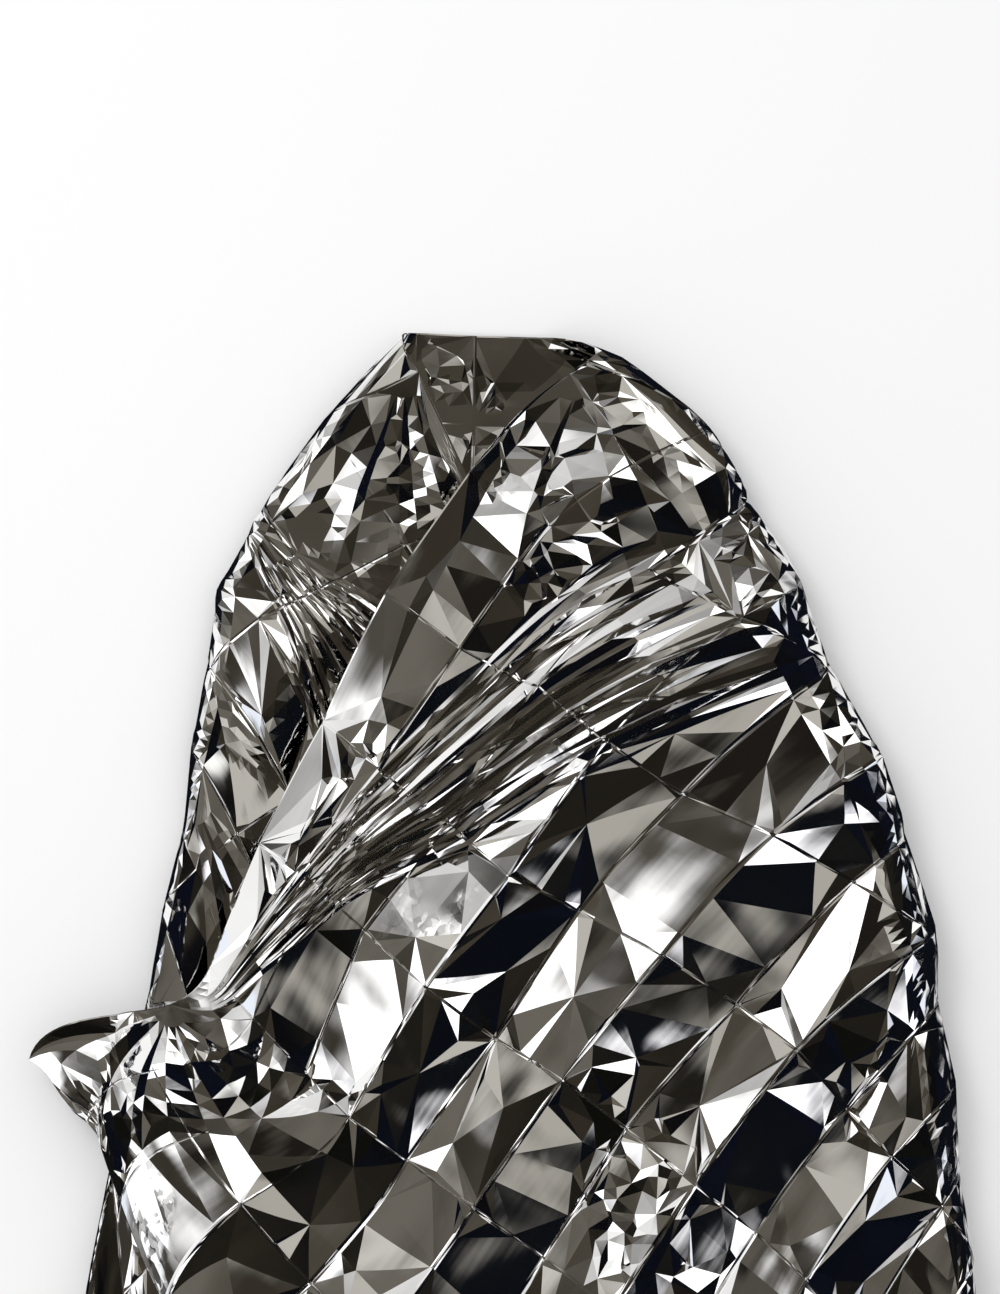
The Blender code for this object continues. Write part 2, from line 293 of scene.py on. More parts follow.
STUDIO_PANELS = (
    # azimuth, lean, turn, half width, half length, soft edge, colour
    (15, 36, 10, 15, 9, 0.06, (0.003, 0.003, 0.004)),
    (250, 30, 0, 20, 6, 0.05, (0.004, 0.004, 0.003)),
    (108, 27, 30, 10, 5, 0.04, (0.012, 0.010, 0.008)),
    (300, 46, 20, 12, 8, 0.05, (0.003, 0.003, 0.004)),
    (-8, 62, 0, 26, 12, 0.05, (0.003, 0.004, 0.009)),
    (80, 21, -20, 8, 6, 0.05, (0.50, 0.48, 0.44)),
    (192, 24, 40, 8, 5, 0.05, (0.60, 0.58, 0.54)),
    (330, 24, -30, 6, 5, 0.05, (0.42, 0.40, 0.36)),
    (146, 40, 8, 12, 7, 0.07, (1.7, 1.7, 1.7)),
    (178, 54, 0, 9, 8, 0.05, (1.5, 1.5, 1.55)),
    (-52, 40, -6, 10, 5, 0.04, (1.6, 1.6, 1.65)),
    (62, 46, 12, 12, 8, 0.05, (1.6, 1.6, 1.55)),
    (232, 48, 0, 9, 6, 0.05, (1.3, 1.3, 1.3)),
    (-20, 60, 30, 5, 3, 0.03, (1.3, 1.3, 1.4)),
    (5, 81, 0, 22, 2.5, 0.03, (0.9, 0.95, 1.05)),
    (185, 82, 0, 24, 3.5, 0.03, (0.9, 0.95, 1.05)),
    (280, 76, 0, 14, 5, 0.04, (1.2, 1.2, 1.2)),
)


def smooth(x):
    """From 0 to 1 with soft ends."""
    x = np.clip(x, 0.0, 1.0)
    return x * x * (3 - 2 * x)


def corner_heights():
    """Heights at the grid's crossings and at the middles of its panels, uneven as in used film."""
    draw = np.random.default_rng(SEED)
    crossings = (PANELS_ACROSS + 1, PANELS_DOWN + 1)
    along = LONG_CREASE * (-1.0) ** np.arange(PANELS_DOWN + 1)
    across = CROSS_CREASE * (-1.0) ** np.arange(PANELS_ACROSS + 1)
    heights = along[None, :] * draw.uniform(*LONG_CREASE_RANGE, crossings)
    heights += across[:, None] * draw.uniform(*CROSS_CREASE_RANGE, crossings)
    heights += draw.normal(0.0, CROSSING_NOISE, crossings)
    panels = (PANELS_ACROSS, PANELS_DOWN)
    dents = DENT * draw.choice((-1.0, 0.0, 1.0), panels, p=DENT_CHANCES) * draw.uniform(*DENT_RANGE, panels)
    sideways = draw.normal(0.0, WANDER, crossings + (2,))
    return heights, dents, sideways


HEIGHTS, DENTS, SIDEWAYS = corner_heights()
FINE = np.random.default_rng(FINE_SEED)
PILLOWS = FINE.normal(0.0, PILLOW, (PANELS_ACROSS, PANELS_DOWN))
WAVES = FINE.normal(0.0, 1.0, (RIPPLES, 4))


def panel_of(s, t):
    """The panel that a point of the flat sheet is in, and its place in that panel from 0 to 1."""
    u = np.clip(s / PANEL_WIDTH, 0.0, PANELS_ACROSS - 1e-9)
    v = np.clip(t / PANEL_LENGTH, 0.0, PANELS_DOWN - 1e-9)
    i, j = u.astype(int), v.astype(int)
    return i, j, u - i, v - j


def between_corners(values, i, j, fu, fv):
    """The value at a place in a panel, from the values at the panel's four corners."""
    if values.ndim == 3:
        fu, fv = fu[:, None], fv[:, None]
    low = values[i, j] * (1 - fu) + values[i + 1, j] * fu
    high = values[i, j + 1] * (1 - fu) + values[i + 1, j + 1] * fu
    return low * (1 - fv) + high * fv


def fan_pleats(fan, s, t):
    """How much of a fan of pulled pleats a point has, from 0 to 1, and the pleats' height there."""
    centre_s, centre_t, first, last, pleats, near, far, tall = fan
    reach = np.hypot(centre_s - s, t - centre_t)
    angle = np.arctan2(t - centre_t, centre_s - s)
    first, last = math.radians(first), math.radians(last)
    share = smooth((angle - first) / FAN_EDGE) * smooth((last - angle) / FAN_EDGE)
    share = share * smooth((reach - FAN_BEGIN * near) / near) * smooth((far + FAN_END / 2 - reach) / FAN_END)
    wave = (angle - first) / (last - first) * pleats
    return share, tall * np.minimum(1.0, reach / (2 * near)) * (4 * np.abs(wave - np.floor(wave) - 0.5) - 1)


def relief(s, t):
    """Height of the creased film over its own mean surface."""
    i, j, fu, fv = panel_of(s, t)
    height = between_corners(HEIGHTS, i, j, fu, fv)
    rim = np.maximum(np.abs(2 * fu - 1), np.abs(2 * fv - 1))
    height = height + DENTS[i, j] * (1 - rim)
    for fan in FANS:
        share, pleat = fan_pleats(fan, s, t)
        height = height * (1 - FAN_SMOOTHS * share) + pleat * share
    return height


def softness(s, t):
    """Curved panels between the creases, and slow ripples over all."""
    i, j, fu, fv = panel_of(s, t)
    height = PILLOWS[i, j] * PILLOW_PEAK * fu * (1 - fu) * fv * (1 - fv)
    for a, b, phase, size in WAVES:
        height = height + RIPPLE * size * np.sin(RIPPLE_TURNS * (a * s + b * t) + RIPPLE_SHIFT * phase)
    return height


def bent(e, radius):
    """Where the film near a fold comes to, measured across the fold, and the angle it has turned through."""
    along = e + math.pi * radius / 2
    angle = np.clip(along / radius, 0.0, math.pi)
    past = np.maximum(along - math.pi * radius, 0.0)
    return np.where(along > 0, radius * (np.sin(angle) - math.pi / 2) - past, e), angle


def settled(x, down):
    """Moves a point sideways, so that the folds lie where the sides of the wrap are."""
    rows = np.array(SIDES)
    for side, neck, slant, radius, column in (
        (-1, -NECK_LEFT[0], LEFT_SLANT, LEFT_RADIUS, 1),
        (1, NECK_RIGHT[0], RIGHT_SLANT, RIGHT_RADIUS, 2),
    ):
        straight = neck + np.maximum(down, 0.0) * math.tan(slant) - (math.pi / 2 - 1) * radius
        wanted = np.interp(down, rows[:, 0], rows[:, column])
        share = np.clip(side * x / straight, 0.0, SIDE_REACH) ** SIDE_POWER
        x = x + side * (wanted - straight) * share
    return x


def rise_of_front(plane):
    """How far the front bulges up at a place, from its humps, ridges and troughs."""
    rise = np.zeros(len(plane))
    for middle_x, middle_y, radius, tall in BILLOWS:
        rise += tall * np.exp(-((plane[:, 0] - middle_x) ** 2 + (plane[:, 1] - middle_y) ** 2) / radius ** 2)
    for from_x, from_y, to_x, to_y, width, tall in RIDGES:
        begin, way = np.array([from_x, from_y]), np.array([to_x - from_x, to_y - from_y])
        share = np.clip((plane - begin) @ way / (way @ way), 0.0, 1.0)
        away = np.linalg.norm(plane - begin - share[:, None] * way, axis=1)
        rise += tall * np.exp(-(away / width) ** 2)
    return rise


def over_folds(s, t):
    """Points of the flat sheet before and after it is folded over, both in plan, their level and turns."""
    i, j, fu, fv = panel_of(s, t)
    wander = between_corners(SIDEWAYS, i, j, fu, fv)
    x = NECK_LEFT[0] + TAKE_UP * (s - LEFT_FOLD_START) + wander[:, 0]
    y = -TAKE_UP * t + wander[:, 1]
    flat = np.stack([x, y], axis=1)
    past_left = (flat - NECK_LEFT) @ OUT_LEFT
    past_right = (flat - NECK_RIGHT) @ OUT_RIGHT
    to_left, turn_left = bent(past_left, LEFT_RADIUS)
    to_right, turn_right = bent(past_right, RIGHT_RADIUS)
    plane = flat + (to_left - past_left)[:, None] * OUT_LEFT + (to_right - past_right)[:, None] * OUT_RIGHT
    level = LEFT_RADIUS * (1 - np.cos(turn_left)) + RIGHT_RADIUS * (1 - np.cos(turn_right))
    return flat, plane, level, turn_left, turn_right


def folded(s, t, height, rise):
    """The place in space of points of the flat sheet, from their film's height and the rise of the front."""
    flat, plane, level, turn_left, turn_right = over_folds(s, t)

    # Relief stands out from the film, which has turned over past a fold
    over_left, over_right = smooth(turn_left / math.pi), smooth(turn_right / math.pi)
    share = BACK_SHARE + (UNDER_SHARE - BACK_SHARE) * over_left + (1 - BACK_SHARE) * over_right
    in_bend = np.maximum(np.sin(turn_left), np.sin(turn_right))
    height = height * share * (1 - (1 - BEND_SHARE) * in_bend)

    # The back rests on the surface
    on_surface = (1 - smooth(turn_left / LIFTED_TURN)) * (1 - smooth(turn_right / LIFTED_TURN))
    from_middle = np.hypot(flat[:, 0] - CENTRE[0], flat[:, 1] - CENTRE[1])
    height = height * (1 - on_surface * (1 - smooth((from_middle - REST_RADIUS) / REST_RIM)))
    height = np.where(on_surface > 0, np.maximum(height, height * (1 - on_surface)), height)
    height = np.where(on_surface > LIES_FLAT, np.where(height < FLAT_BACK, 0.0, height), height)

    # The left side's film stays low where the right side covers it
    covered = smooth(((plane - NECK_RIGHT) @ OVER_EDGE + COVER_EASE) / COVER_EASE) * over_left
    lowest = np.where(over_left > TURNED_OVER, -HIGHEST * (1 - covered) - UNDER_LIMIT * covered, -HIGHEST)
    highest = np.where(over_left > TURNED_OVER, UNDER_LIMIT, DEEPEST)
    height = np.clip(height, lowest, highest)
    level = level + rise * (over_right + over_left * (1 - covered))

    # The loose corner spreads out past the pinch and droops
    past_pinch = smooth((s - RIGHT_FOLD_START - FLAP_START) / (FLAT_WIDTH - RIGHT_FOLD_START - FLAP_START))
    flap = (past_pinch * over_right)[:, None] * (1 - smooth(t[:, None] / np.array(FLAP_DEPTH)))
    flap[:, 0] *= TIP_SHARE + (1 - TIP_SHARE) * smooth(t / TIP_DEPTH)
    plane = plane + flap * np.array(FLAP_SPREAD)
    level = level - FLAP_DROOP * flap[:, 1]

    normal = np.zeros((len(s), 3))
    normal[:, :2] = -np.sin(turn_left)[:, None] * OUT_LEFT - np.sin(turn_right)[:, None] * OUT_RIGHT
    normal[:, 2] = np.cos(turn_left + turn_right)
    space = np.column_stack([plane, level]) + height[:, None] * normal
    space[:, 2] = np.maximum(space[:, 2], 0.0)
    space[:, 0] = settled(space[:, 0], -space[:, 1])
    return space - np.array([CENTRE[0], CENTRE[1], 0.0])


def in_wedge(s, t, fans=FANS + COLLAR_FANS):
    """True inside one of the fans of pleats: all of them, or only those that are given."""
    inside = np.zeros(np.shape(s), bool)
    for centre_s, centre_t, first, last, _, near, far, _ in fans:
        reach = np.hypot(centre_s - s, t - centre_t)
        angle = np.degrees(np.arctan2(t - centre_t, centre_s - s)) % 360
        first, last = first % 360, last % 360
        between = (angle > first) & (angle < last) if first < last else (angle > first) | (angle < last)
        inside |= between & (reach > GATHER_START * near) & (reach < far - PLEAT_EASE / 2)
    return inside


def on_front(s, t):
    """True past either slanting fold and on the back inside the open neck, where film may show from above."""
    left_edge = LEFT_FOLD_START - t * math.tan(LEFT_SLANT)
    right_edge = RIGHT_FOLD_START + t * math.tan(RIGHT_SLANT)
    return (s < left_edge) | (s > right_edge) | (t < NECK_DEPTH)


def spacing(s, t):
    """How long an edge of the mesh may be: short on film that shows, long on what lies beneath it."""
    x = NECK_LEFT[0] + TAKE_UP * (s - LEFT_FOLD_START)
    y = -TAKE_UP * t
    past = -(x - NECK_LEFT[0]) * math.cos(LEFT_SLANT) + y * math.sin(LEFT_SLANT)
    laid_x, laid_y = x + 2 * past * math.cos(LEFT_SLANT), y - 2 * past * math.sin(LEFT_SLANT)
    past_edge = (laid_x - NECK_RIGHT[0]) * math.cos(EDGE_SLOPE) + laid_y * math.sin(EDGE_SLOPE)
    beneath = (past > 0) & (past_edge > SEEN_UNDER_EDGE)
    return np.where(on_front(s, t) & ~beneath, VISIBLE_SPACING, HIDDEN_SPACING)


def bead(begin, end, half_width, tall):
    """A storage crease that shows: a narrow ridge or groove between two foot lines, uneven along it."""
    begin, along = np.array(begin), np.array(end) - begin
    side = np.array([-along[1], along[0]]) / np.linalg.norm(along) * half_width
    shares = np.linspace(0.0, 1.0, BEAD_STEPS + 1)
    shares[1:-1] += FINE.uniform(-BEAD_DRIFT, BEAD_DRIFT, BEAD_STEPS - 1)
    pushes = tall * FINE.choice(BEAD_SHARES) * FINE.uniform(*BEAD_RANGE, BEAD_STEPS + 1)
    places = begin + shares[:, None] * along
    ridge = [(*place, push) for place, push in zip(places, pushes)]
    feet = [[(*place, 0.0) for place in places + way * side] for way in (-1, 1)]
    return [ridge] + feet


def grid_creases():
    """The storage creases between neighbouring crossings: beads where they show, and none inside the fans."""
    lines = []
    for i in range(PANELS_ACROSS + 1):
        for j in range(PANELS_DOWN + 1):
            for step_i, step_j, kind in ((1, 0, LONG_BEAD), (0, 1, CROSS_BEAD)):
                if i + step_i > PANELS_ACROSS or j + step_j > PANELS_DOWN:
                    continue
                begin = (i * PANEL_WIDTH, j * PANEL_LENGTH)
                end = ((i + step_i) * PANEL_WIDTH, (j + step_j) * PANEL_LENGTH)
                middle = ((begin[0] + end[0]) / 2, (begin[1] + end[1]) / 2)
                on_rim = (step_i and j in (0, PANELS_DOWN)) or (step_j and i in (0, PANELS_ACROSS))
                if in_wedge(*middle):
                    continue
                if on_rim or not on_front(*middle):
                    lines.append([(*begin, 0.0), (*end, 0.0)])
                else:
                    lines += bead(begin, end, *kind)
    return lines


def bend_lines():
    """Straight lines beside each slanting fold, so that the film bends in even steps."""
    lines = []
    for start, slant, radius, side, steps in (
        (LEFT_FOLD_START, LEFT_SLANT, LEFT_RADIUS, -1, LEFT_BEND_STEPS),
        (RIGHT_FOLD_START, RIGHT_SLANT, RIGHT_RADIUS, 1, RIGHT_BEND_STEPS),
    ):
        for step in range(steps + 1):
            shift = math.pi * radius * (step / steps - 0.5) / TAKE_UP / math.cos(slant)
            begin = (start + side * shift, 0.0, 0.0)
            end = (start + side * (shift + FLAT_LENGTH * math.tan(slant)), FLAT_LENGTH, 0.0)
            lines.append([begin, end])
    return lines


def pleat_line(fan, angle, start, end, tall):
    """One pleat's line on the flat sheet, highest in its middle, and no longer than the sheet allows."""
    centre_s, centre_t = fan[:2]
    if math.cos(angle) < 0:
        end = min(end, (FLAT_WIDTH - RIM - centre_s) / -math.cos(angle))
    return [
        (
            centre_s - reach * math.cos(angle),
            centre_t + reach * math.sin(angle),
            tall * min(1.0, (reach - start) / PLEAT_EASE, (end - reach) / PLEAT_EASE),
        )
        for reach in np.linspace(start, end, PLEAT_POINTS)
    ]


def pleat_lines():
    """The fans' pleats, each parted into finer ones of uneven width and height, and the collar's gathers."""
    lines = []
    for fan in FANS:
        _, _, first, last, pleats, near, far, _ = fan
        count = 2 * pleats * FINE_PLEATS
        step = math.radians(last - first) / count
        for k in range(count + 1):
            fine = k % FINE_PLEATS != 0
            drift = FINE.uniform(-FINE_PLEAT_DRIFT, FINE_PLEAT_DRIFT)
            angle = math.radians(first) + (k + fine * drift) * step
            tall = FINE_PLEAT_RELIEF * (-1) ** k * FINE.uniform(*FINE_PLEAT_RANGE)
            lines.append(pleat_line(fan, angle, near if fine else GATHER_START * near, far, tall))
    for fan in COLLAR_FANS:
        _, _, first, last, pleats, near, far, relief_height = fan
        angles = np.linspace(first, last, 2 * pleats + 1)
        drifts = FINE.uniform(-GATHER_DRIFT, GATHER_DRIFT, 2 * pleats - 1)
        angles[1:-1] += drifts * (last - first) / (2 * pleats)
        for k, angle in enumerate(np.radians(angles)):
            end = far if k in (0, 2 * pleats) else near + (far - near) * FINE.uniform(*GATHER_LENGTH)
            tall = relief_height * (-1) ** k * FINE.uniform(*GATHER_RANGE)
            lines.append(pleat_line(fan, angle, near, end, tall))
    return lines


def panel_facets():
    """Straight creases inside the panels: darts from a corner, tents, roofs, folds and tucked corners."""
    lines = []
    chances = np.array([kind[0] for kind in FACETS])
    for i in range(PANELS_ACROSS):
        for j in range(PANELS_DOWN):
            kind = FACETS[FINE.choice(len(FACETS), p=chances / chances.sum())]
            flip_u, flip_v, sign = FINE.integers(0, 2, 3)
            push = FACET_HEIGHT * (2 * sign - 1) * FINE.uniform(*FACET_RANGE)
            if not on_front((i + 0.5) * PANEL_WIDTH, (j + 0.5) * PANEL_LENGTH):
                continue
            points = []
            for u, v, share in PANEL_CORNERS + kind[1]:
                u, v = (1 - u if flip_u else u), (1 - v if flip_v else v)
                if 0 < u < 1 and 0 < v < 1:
                    u += FINE.uniform(-FACET_DRIFT, FACET_DRIFT)
                    v += FINE.uniform(-FACET_DRIFT, FACET_DRIFT)
                points.append(((i + u) * PANEL_WIDTH, (j + v) * PANEL_LENGTH, push * share))
            lines += [[points[a], points[b]] for a, b in kind[2]]
    return [line for line in lines if not in_wedge(*line[0][:2]) and not in_wedge(*line[1][:2])]


def crossing_stars():
    """Short ridges that spread out from a pinched crossing, in and out by turns."""
    lines = []
    for i in range(1, PANELS_ACROSS):
        for j in range(1, PANELS_DOWN):
            turn, ridges = FINE.uniform(0, 2 * math.pi), FINE.integers(*STAR_RIDGES)
            reaches = FINE.uniform(*STAR_REACH, ridges)
            pushes = STAR_HEIGHT * FINE.uniform(*STAR_RANGE, ridges) * (-1) ** np.arange(ridges)
            s, t = i * PANEL_WIDTH, j * PANEL_LENGTH
            if FINE.uniform() > STAR_CHANCE or not on_front(s, t) or in_wedge(s, t):
                continue
            for k in range(ridges):
                angle = turn + 2 * math.pi * k / ridges
                tip = (s + reaches[k] * math.cos(angle), t + reaches[k] * math.sin(angle), pushes[k])
                lines.append([(s, t, 0.0), tip])
    return lines


def crinkled_points():
    """Points of the patches that are crumpled all over, each pushed in or out."""
    count = int(FLAT_WIDTH * FLAT_LENGTH / CRINKLE_GRAIN ** 2)
    s, t = FINE.uniform(0, FLAT_WIDTH, count), FINE.uniform(0, FLAT_LENGTH, count)
    pushes, chances = CRINKLE_HEIGHT * FINE.normal(0, 1, count), FINE.uniform(0, 1, count)
    shows = on_front(s, t) & (spacing(s, t) < HIDDEN_SPACING)
    s, t, pushes, chances = s[shows], t[shows], pushes[shows], chances[shows]
    place = folded(s, t, np.zeros(len(s)), np.zeros(len(s)))[:, :2] + CENTRE
    crumpled = np.zeros(len(s))
    for x, y, across, along, turn, share in CRINKLES:
        turn = math.radians(turn)
        away = place - (x, y)
        u = away @ (math.cos(turn), math.sin(turn)) / along
        v = away @ (-math.sin(turn), math.cos(turn)) / across
        crumpled = np.maximum(crumpled, share * (1 - smooth(np.hypot(u, v) - CRINKLE_CORE)))

    # Crumpled film has coarse and fine places by turns
    swing = np.sin(CRINKLE_TURNS[0] * s + CRINKLE_PHASES[0])
    swing = swing * np.sin(CRINKLE_TURNS[1] * t + CRINKLE_PHASES[1] + CRINKLE_SHEAR * s)
    coarse = 0.5 + 0.5 * swing
    crumpled = crumpled * (1 - CRINKLE_VARIETY * coarse)
    pushes = pushes * (1 + CRINKLE_VARIETY * coarse)
    kept = (chances < crumpled) & ~in_wedge(s, t, FANS)
    return [tuple(row) for row in np.column_stack([s, t, pushes])[kept]]


def scored_sheet():
    """The flat sheet's points with their height and rise, its triangles, and the edges that stay sharp."""
    points, edges = [], []
    for line in grid_creases() + bend_lines() + pleat_lines() + panel_facets() + crossing_stars():
        first = len(points)
        points += line
        edges += [(k, k + 1) for k in range(first, len(points) - 1)]
    crinkled = len(points)
    points += crinkled_points()
    places, joined, triangles, place_from, joined_from, _ = delaunay_2d_cdt(
        [Vector(point[:2]) for point in points], edges, [], 0, MERGE_DISTANCE
    )
    flat = np.array([tuple(place) for place in places])
    pushes = np.array([max((points[k][2] for k in came), key=abs, default=0.0) for came in place_from])
    creased = [edge for edge, came in zip(joined, joined_from) if came]
    faces = np.array([tuple(reversed(triangle)) for triangle in triangles])
    edges, _ = edges_of(faces)
    crumpled = np.array([bool(came) and came[0] >= crinkled for came in place_from])
    sharp = np.unique(np.sort(np.concatenate([creased, edges[crumpled[edges].all(axis=1)]]), axis=1), axis=0)
    height = relief(flat[:, 0], flat[:, 1]) + pushes
    rise = rise_of_front(over_folds(flat[:, 0], flat[:, 1])[1])
    return np.column_stack([flat, height, rise]), faces, sharp


def edges_of(faces):
    """Each edge once, and for each side of each triangle the number of its edge."""
    sides = np.concatenate([faces[:, [0, 1]], faces[:, [1, 2]], faces[:, [2, 0]]])
    edges, index = np.unique(np.sort(sides, axis=1), axis=0, return_inverse=True)
    return edges, index.reshape(3, -1)


def refined(sheet, faces, sharp):
    """The sheet with its long edges halved until none is longer than its place allows."""
    while True:
        edges, index = edges_of(faces)
        middles = sheet[edges].mean(axis=1)
        length = np.linalg.norm(sheet[edges[:, 0], :2] - sheet[edges[:, 1], :2], axis=1)
        long = length > spacing(middles[:, 0], middles[:, 1])
        if not long.any():
            return sheet, faces, sharp
        number = np.where(long, len(sheet) + np.cumsum(long) - 1, -1)
        halves = number[index].T
        count = (halves >= 0).sum(axis=1)

        # Each triangle is turned until its halved sides come first
        for _ in range(2):
            turn = ((count == 1) & (halves[:, 0] < 0)) | ((count == 2) & (halves[:, 2] >= 0))
            faces[turn], halves[turn] = np.roll(faces[turn], -1, axis=1), np.roll(halves[turn], -1, axis=1)
        (a, b, c), (ab, bc, ca) = faces.T, halves.T
        patterns = {
            0: ((a, b, c),),
            1: ((a, ab, c), (ab, b, c)),
            2: ((ab, b, bc), (a, ab, bc), (a, bc, c)),
            3: ((a, ab, ca), (ab, b, bc), (ca, bc, c), (ab, bc, ca)),
        }
        faces = np.concatenate([
            np.column_stack(three)[count == halved]
            for halved, pattern in patterns.items()
            for three in pattern
        ])
        key = edges[:, 0] * len(sheet) + edges[:, 1]
        wanted = np.sort(sharp, axis=1)
        middle = number[np.searchsorted(key, wanted[:, 0] * len(sheet) + wanted[:, 1])]
        cut = middle >= 0
        sharp = np.concatenate([
            sharp[~cut],
            np.column_stack([sharp[cut, 0], middle[cut]]),
            np.column_stack([middle[cut], sharp[cut, 1]]),
        ])
        sheet = np.concatenate([sheet, middles[long]])


def foil_mesh():
    """The folded sheet's mesh, with its flat cut as its UV map and its creases marked sharp."""
    sheet, faces, sharp = refined(*scored_sheet())
    s, t, height, rise = sheet.T
    space = folded(s, t, height + softness(s, t), rise)
    mesh = bpy.data.meshes.new("foil_blanket")
    mesh.from_pydata(space.tolist(), [], faces.tolist())
    layer = mesh.uv_layers.new(name="flat_cut")
    corners = np.empty(len(mesh.loops), np.int32)
    mesh.loops.foreach_get("vertex_index", corners)
    layer.data.foreach_set("uv", sheet[corners, :2].ravel())
    ends = np.empty(2 * len(mesh.edges), np.int32)
    mesh.edges.foreach_get("vertices", ends)
    ends = np.sort(ends.reshape(-1, 2), axis=1)
    sharp_keys = np.sort(sharp, axis=1) @ (len(sheet), 1)
    mesh.edges.foreach_set("use_edge_sharp", np.isin(ends @ (len(sheet), 1), sharp_keys))
    return mesh


def add_foil_blanket():
    """The blanket: its mesh given the film's thickness, its creases kept crisp, and its material."""
    blanket = bpy.data.objects.new("foil_blanket", foil_mesh())
    bpy.context.scene.collection.objects.link(blanket)
    bpy.ops.object.select_all(action="DESELECT")
    blanket.select_set(True)
    bpy.context.view_layer.objects.active = blanket
    film = blanket.modifiers.new("film", "SOLIDIFY")
    film.thickness = FILM
    film.offset = 1.0
    bpy.ops.object.modifier_apply(modifier=film.name)
    bpy.ops.object.shade_smooth_by_angle(angle=CREASE_ANGLE)
    blanket.data.materials.append(silver_foil())
    return blanket


def socket_group(name, inputs, outputs):
    """An empty node group with its sockets, and its two end nodes."""
    group = bpy.data.node_groups.new(name, "ShaderNodeTree")
    for label, kind, value in inputs:
        socket = group.interface.new_socket(label, in_out="INPUT", socket_type=kind)
        if value is not None:
            socket.default_value = value
    for label, kind in outputs:
        group.interface.new_socket(label, in_out="OUTPUT", socket_type=kind)
    return group, group.nodes.new("NodeGroupInput"), group.nodes.new("NodeGroupOutput")


def feed(tree, value, socket):
    """Links an output to a socket, or sets the socket to a plain value."""
    if isinstance(value, bpy.types.NodeSocket):
        tree.links.new(value, socket)
    else:
        socket.default_value = value


def math_node(tree, kind, *values):
    node = tree.nodes.new("ShaderNodeMath")
    node.operation = kind
    for socket, value in zip(node.inputs, values):
        feed(tree, value, socket)
    return node.outputs[0]


def vector_node(tree, kind, *values, scale=None):
    node = tree.nodes.new("ShaderNodeVectorMath")
    node.operation = kind
    for socket, value in zip(node.inputs, values):
        feed(tree, value, socket)
    if scale is not None:
        feed(tree, scale, node.inputs["Scale"])
    return node.outputs["Value" if kind == "DOT_PRODUCT" else "Vector"]


def mixed(tree, share, first, second):
    """A colour that goes from the first one to the second as the share goes from 0 to 1."""
    node = tree.nodes.new("ShaderNodeMix")
    node.data_type = "RGBA"
    feed(tree, share, node.inputs["Factor"])
    feed(tree, first, node.inputs["A"])
    feed(tree, second, node.inputs["B"])
    return node.outputs["Result"]


def stretched(tree, vector, stretch, turn=0.0):
    node = tree.nodes.new("ShaderNodeMapping")
    node.inputs["Scale"].default_value = stretch
    node.inputs["Rotation"].default_value = (0.0, 0.0, turn)
    tree.links.new(vector, node.inputs["Vector"])
    return node.outputs[0]


def eased(tree, value, low, high):
    """From 0 at the low value to 1 at the high one, with soft ends."""
    node = tree.nodes.new("ShaderNodeMapRange")
    node.interpolation_type = "SMOOTHSTEP"
    node.inputs["From Min"].default_value = low
    node.inputs["From Max"].default_value = high
    tree.links.new(value, node.inputs["Value"])
    return node.outputs["Result"]


def noise(tree, vector, scale, detail, stretch=(1.0, 1.0, 1.0)):
    node = tree.nodes.new("ShaderNodeTexNoise")
    node.inputs["Scale"].default_value = scale
    node.inputs["Detail"].default_value = detail
    tree.links.new(stretched(tree, vector, stretch), node.inputs["Vector"])
    return node.outputs["Fac"]


def film_wrinkles():
    """Fine relief of used film in millimetres, a mask of where it is crumpled, and its small facets' lean."""
    group, begin, end = socket_group(
        "film_wrinkles",
        (
            ("Flat Cut", "NodeSocketVector", None),
            ("Wave", "NodeSocketFloat", WAVE_HEIGHT),
            ("Lean", "NodeSocketFloat", CELL_LEAN),
        ),
        (("Height", "NodeSocketFloat"), ("Crumpled", "NodeSocketFloat"), ("Lean", "NodeSocketVector")),
    )
    place = begin.outputs["Flat Cut"]
    waves = math_node(group, "MULTIPLY", noise(group, place, *WAVE_NOISE), begin.outputs["Wave"])
    pulled_height = math_node(group, "MULTIPLY", begin.outputs["Wave"], PULLED_SHARE)
    total = math_node(group, "MULTIPLY_ADD", noise(group, place, *PULLED_NOISE), pulled_height, waves)
    crumpled = eased(group, noise(group, place, *CRUMPLED_NOISE), CRUMPLED_FROM, CRUMPLED_FULL)

    # Small facets are the difference between two sets of cells that are drawn out of line
    shaken = group.nodes.new("ShaderNodeTexNoise")
    shaken.inputs["Scale"].default_value = SHAKE_SCALE
    group.links.new(place, shaken.inputs["Vector"])
    shift = vector_node(group, "SCALE", shaken.outputs["Color"], scale=SHAKE_REACH)
    drawn = vector_node(group, "ADD", place, shift)
    tones = []
    for scale, stretch in CELLS:
        cells = group.nodes.new("ShaderNodeTexVoronoi")
        cells.feature = "F1"
        cells.inputs["Scale"].default_value = scale
        group.links.new(stretched(group, drawn, stretch, CELL_TURN), cells.inputs["Vector"])
        tones.append(cells.outputs["Color"])
    strength = math_node(group, "MULTIPLY", crumpled, begin.outputs["Lean"])
    lean = vector_node(group, "SCALE", vector_node(group, "SUBTRACT", *tones), scale=strength)
    group.links.new(total, end.inputs["Height"])
    group.links.new(crumpled, end.inputs["Crumpled"])
    group.links.new(lean, end.inputs["Lean"])
    return group


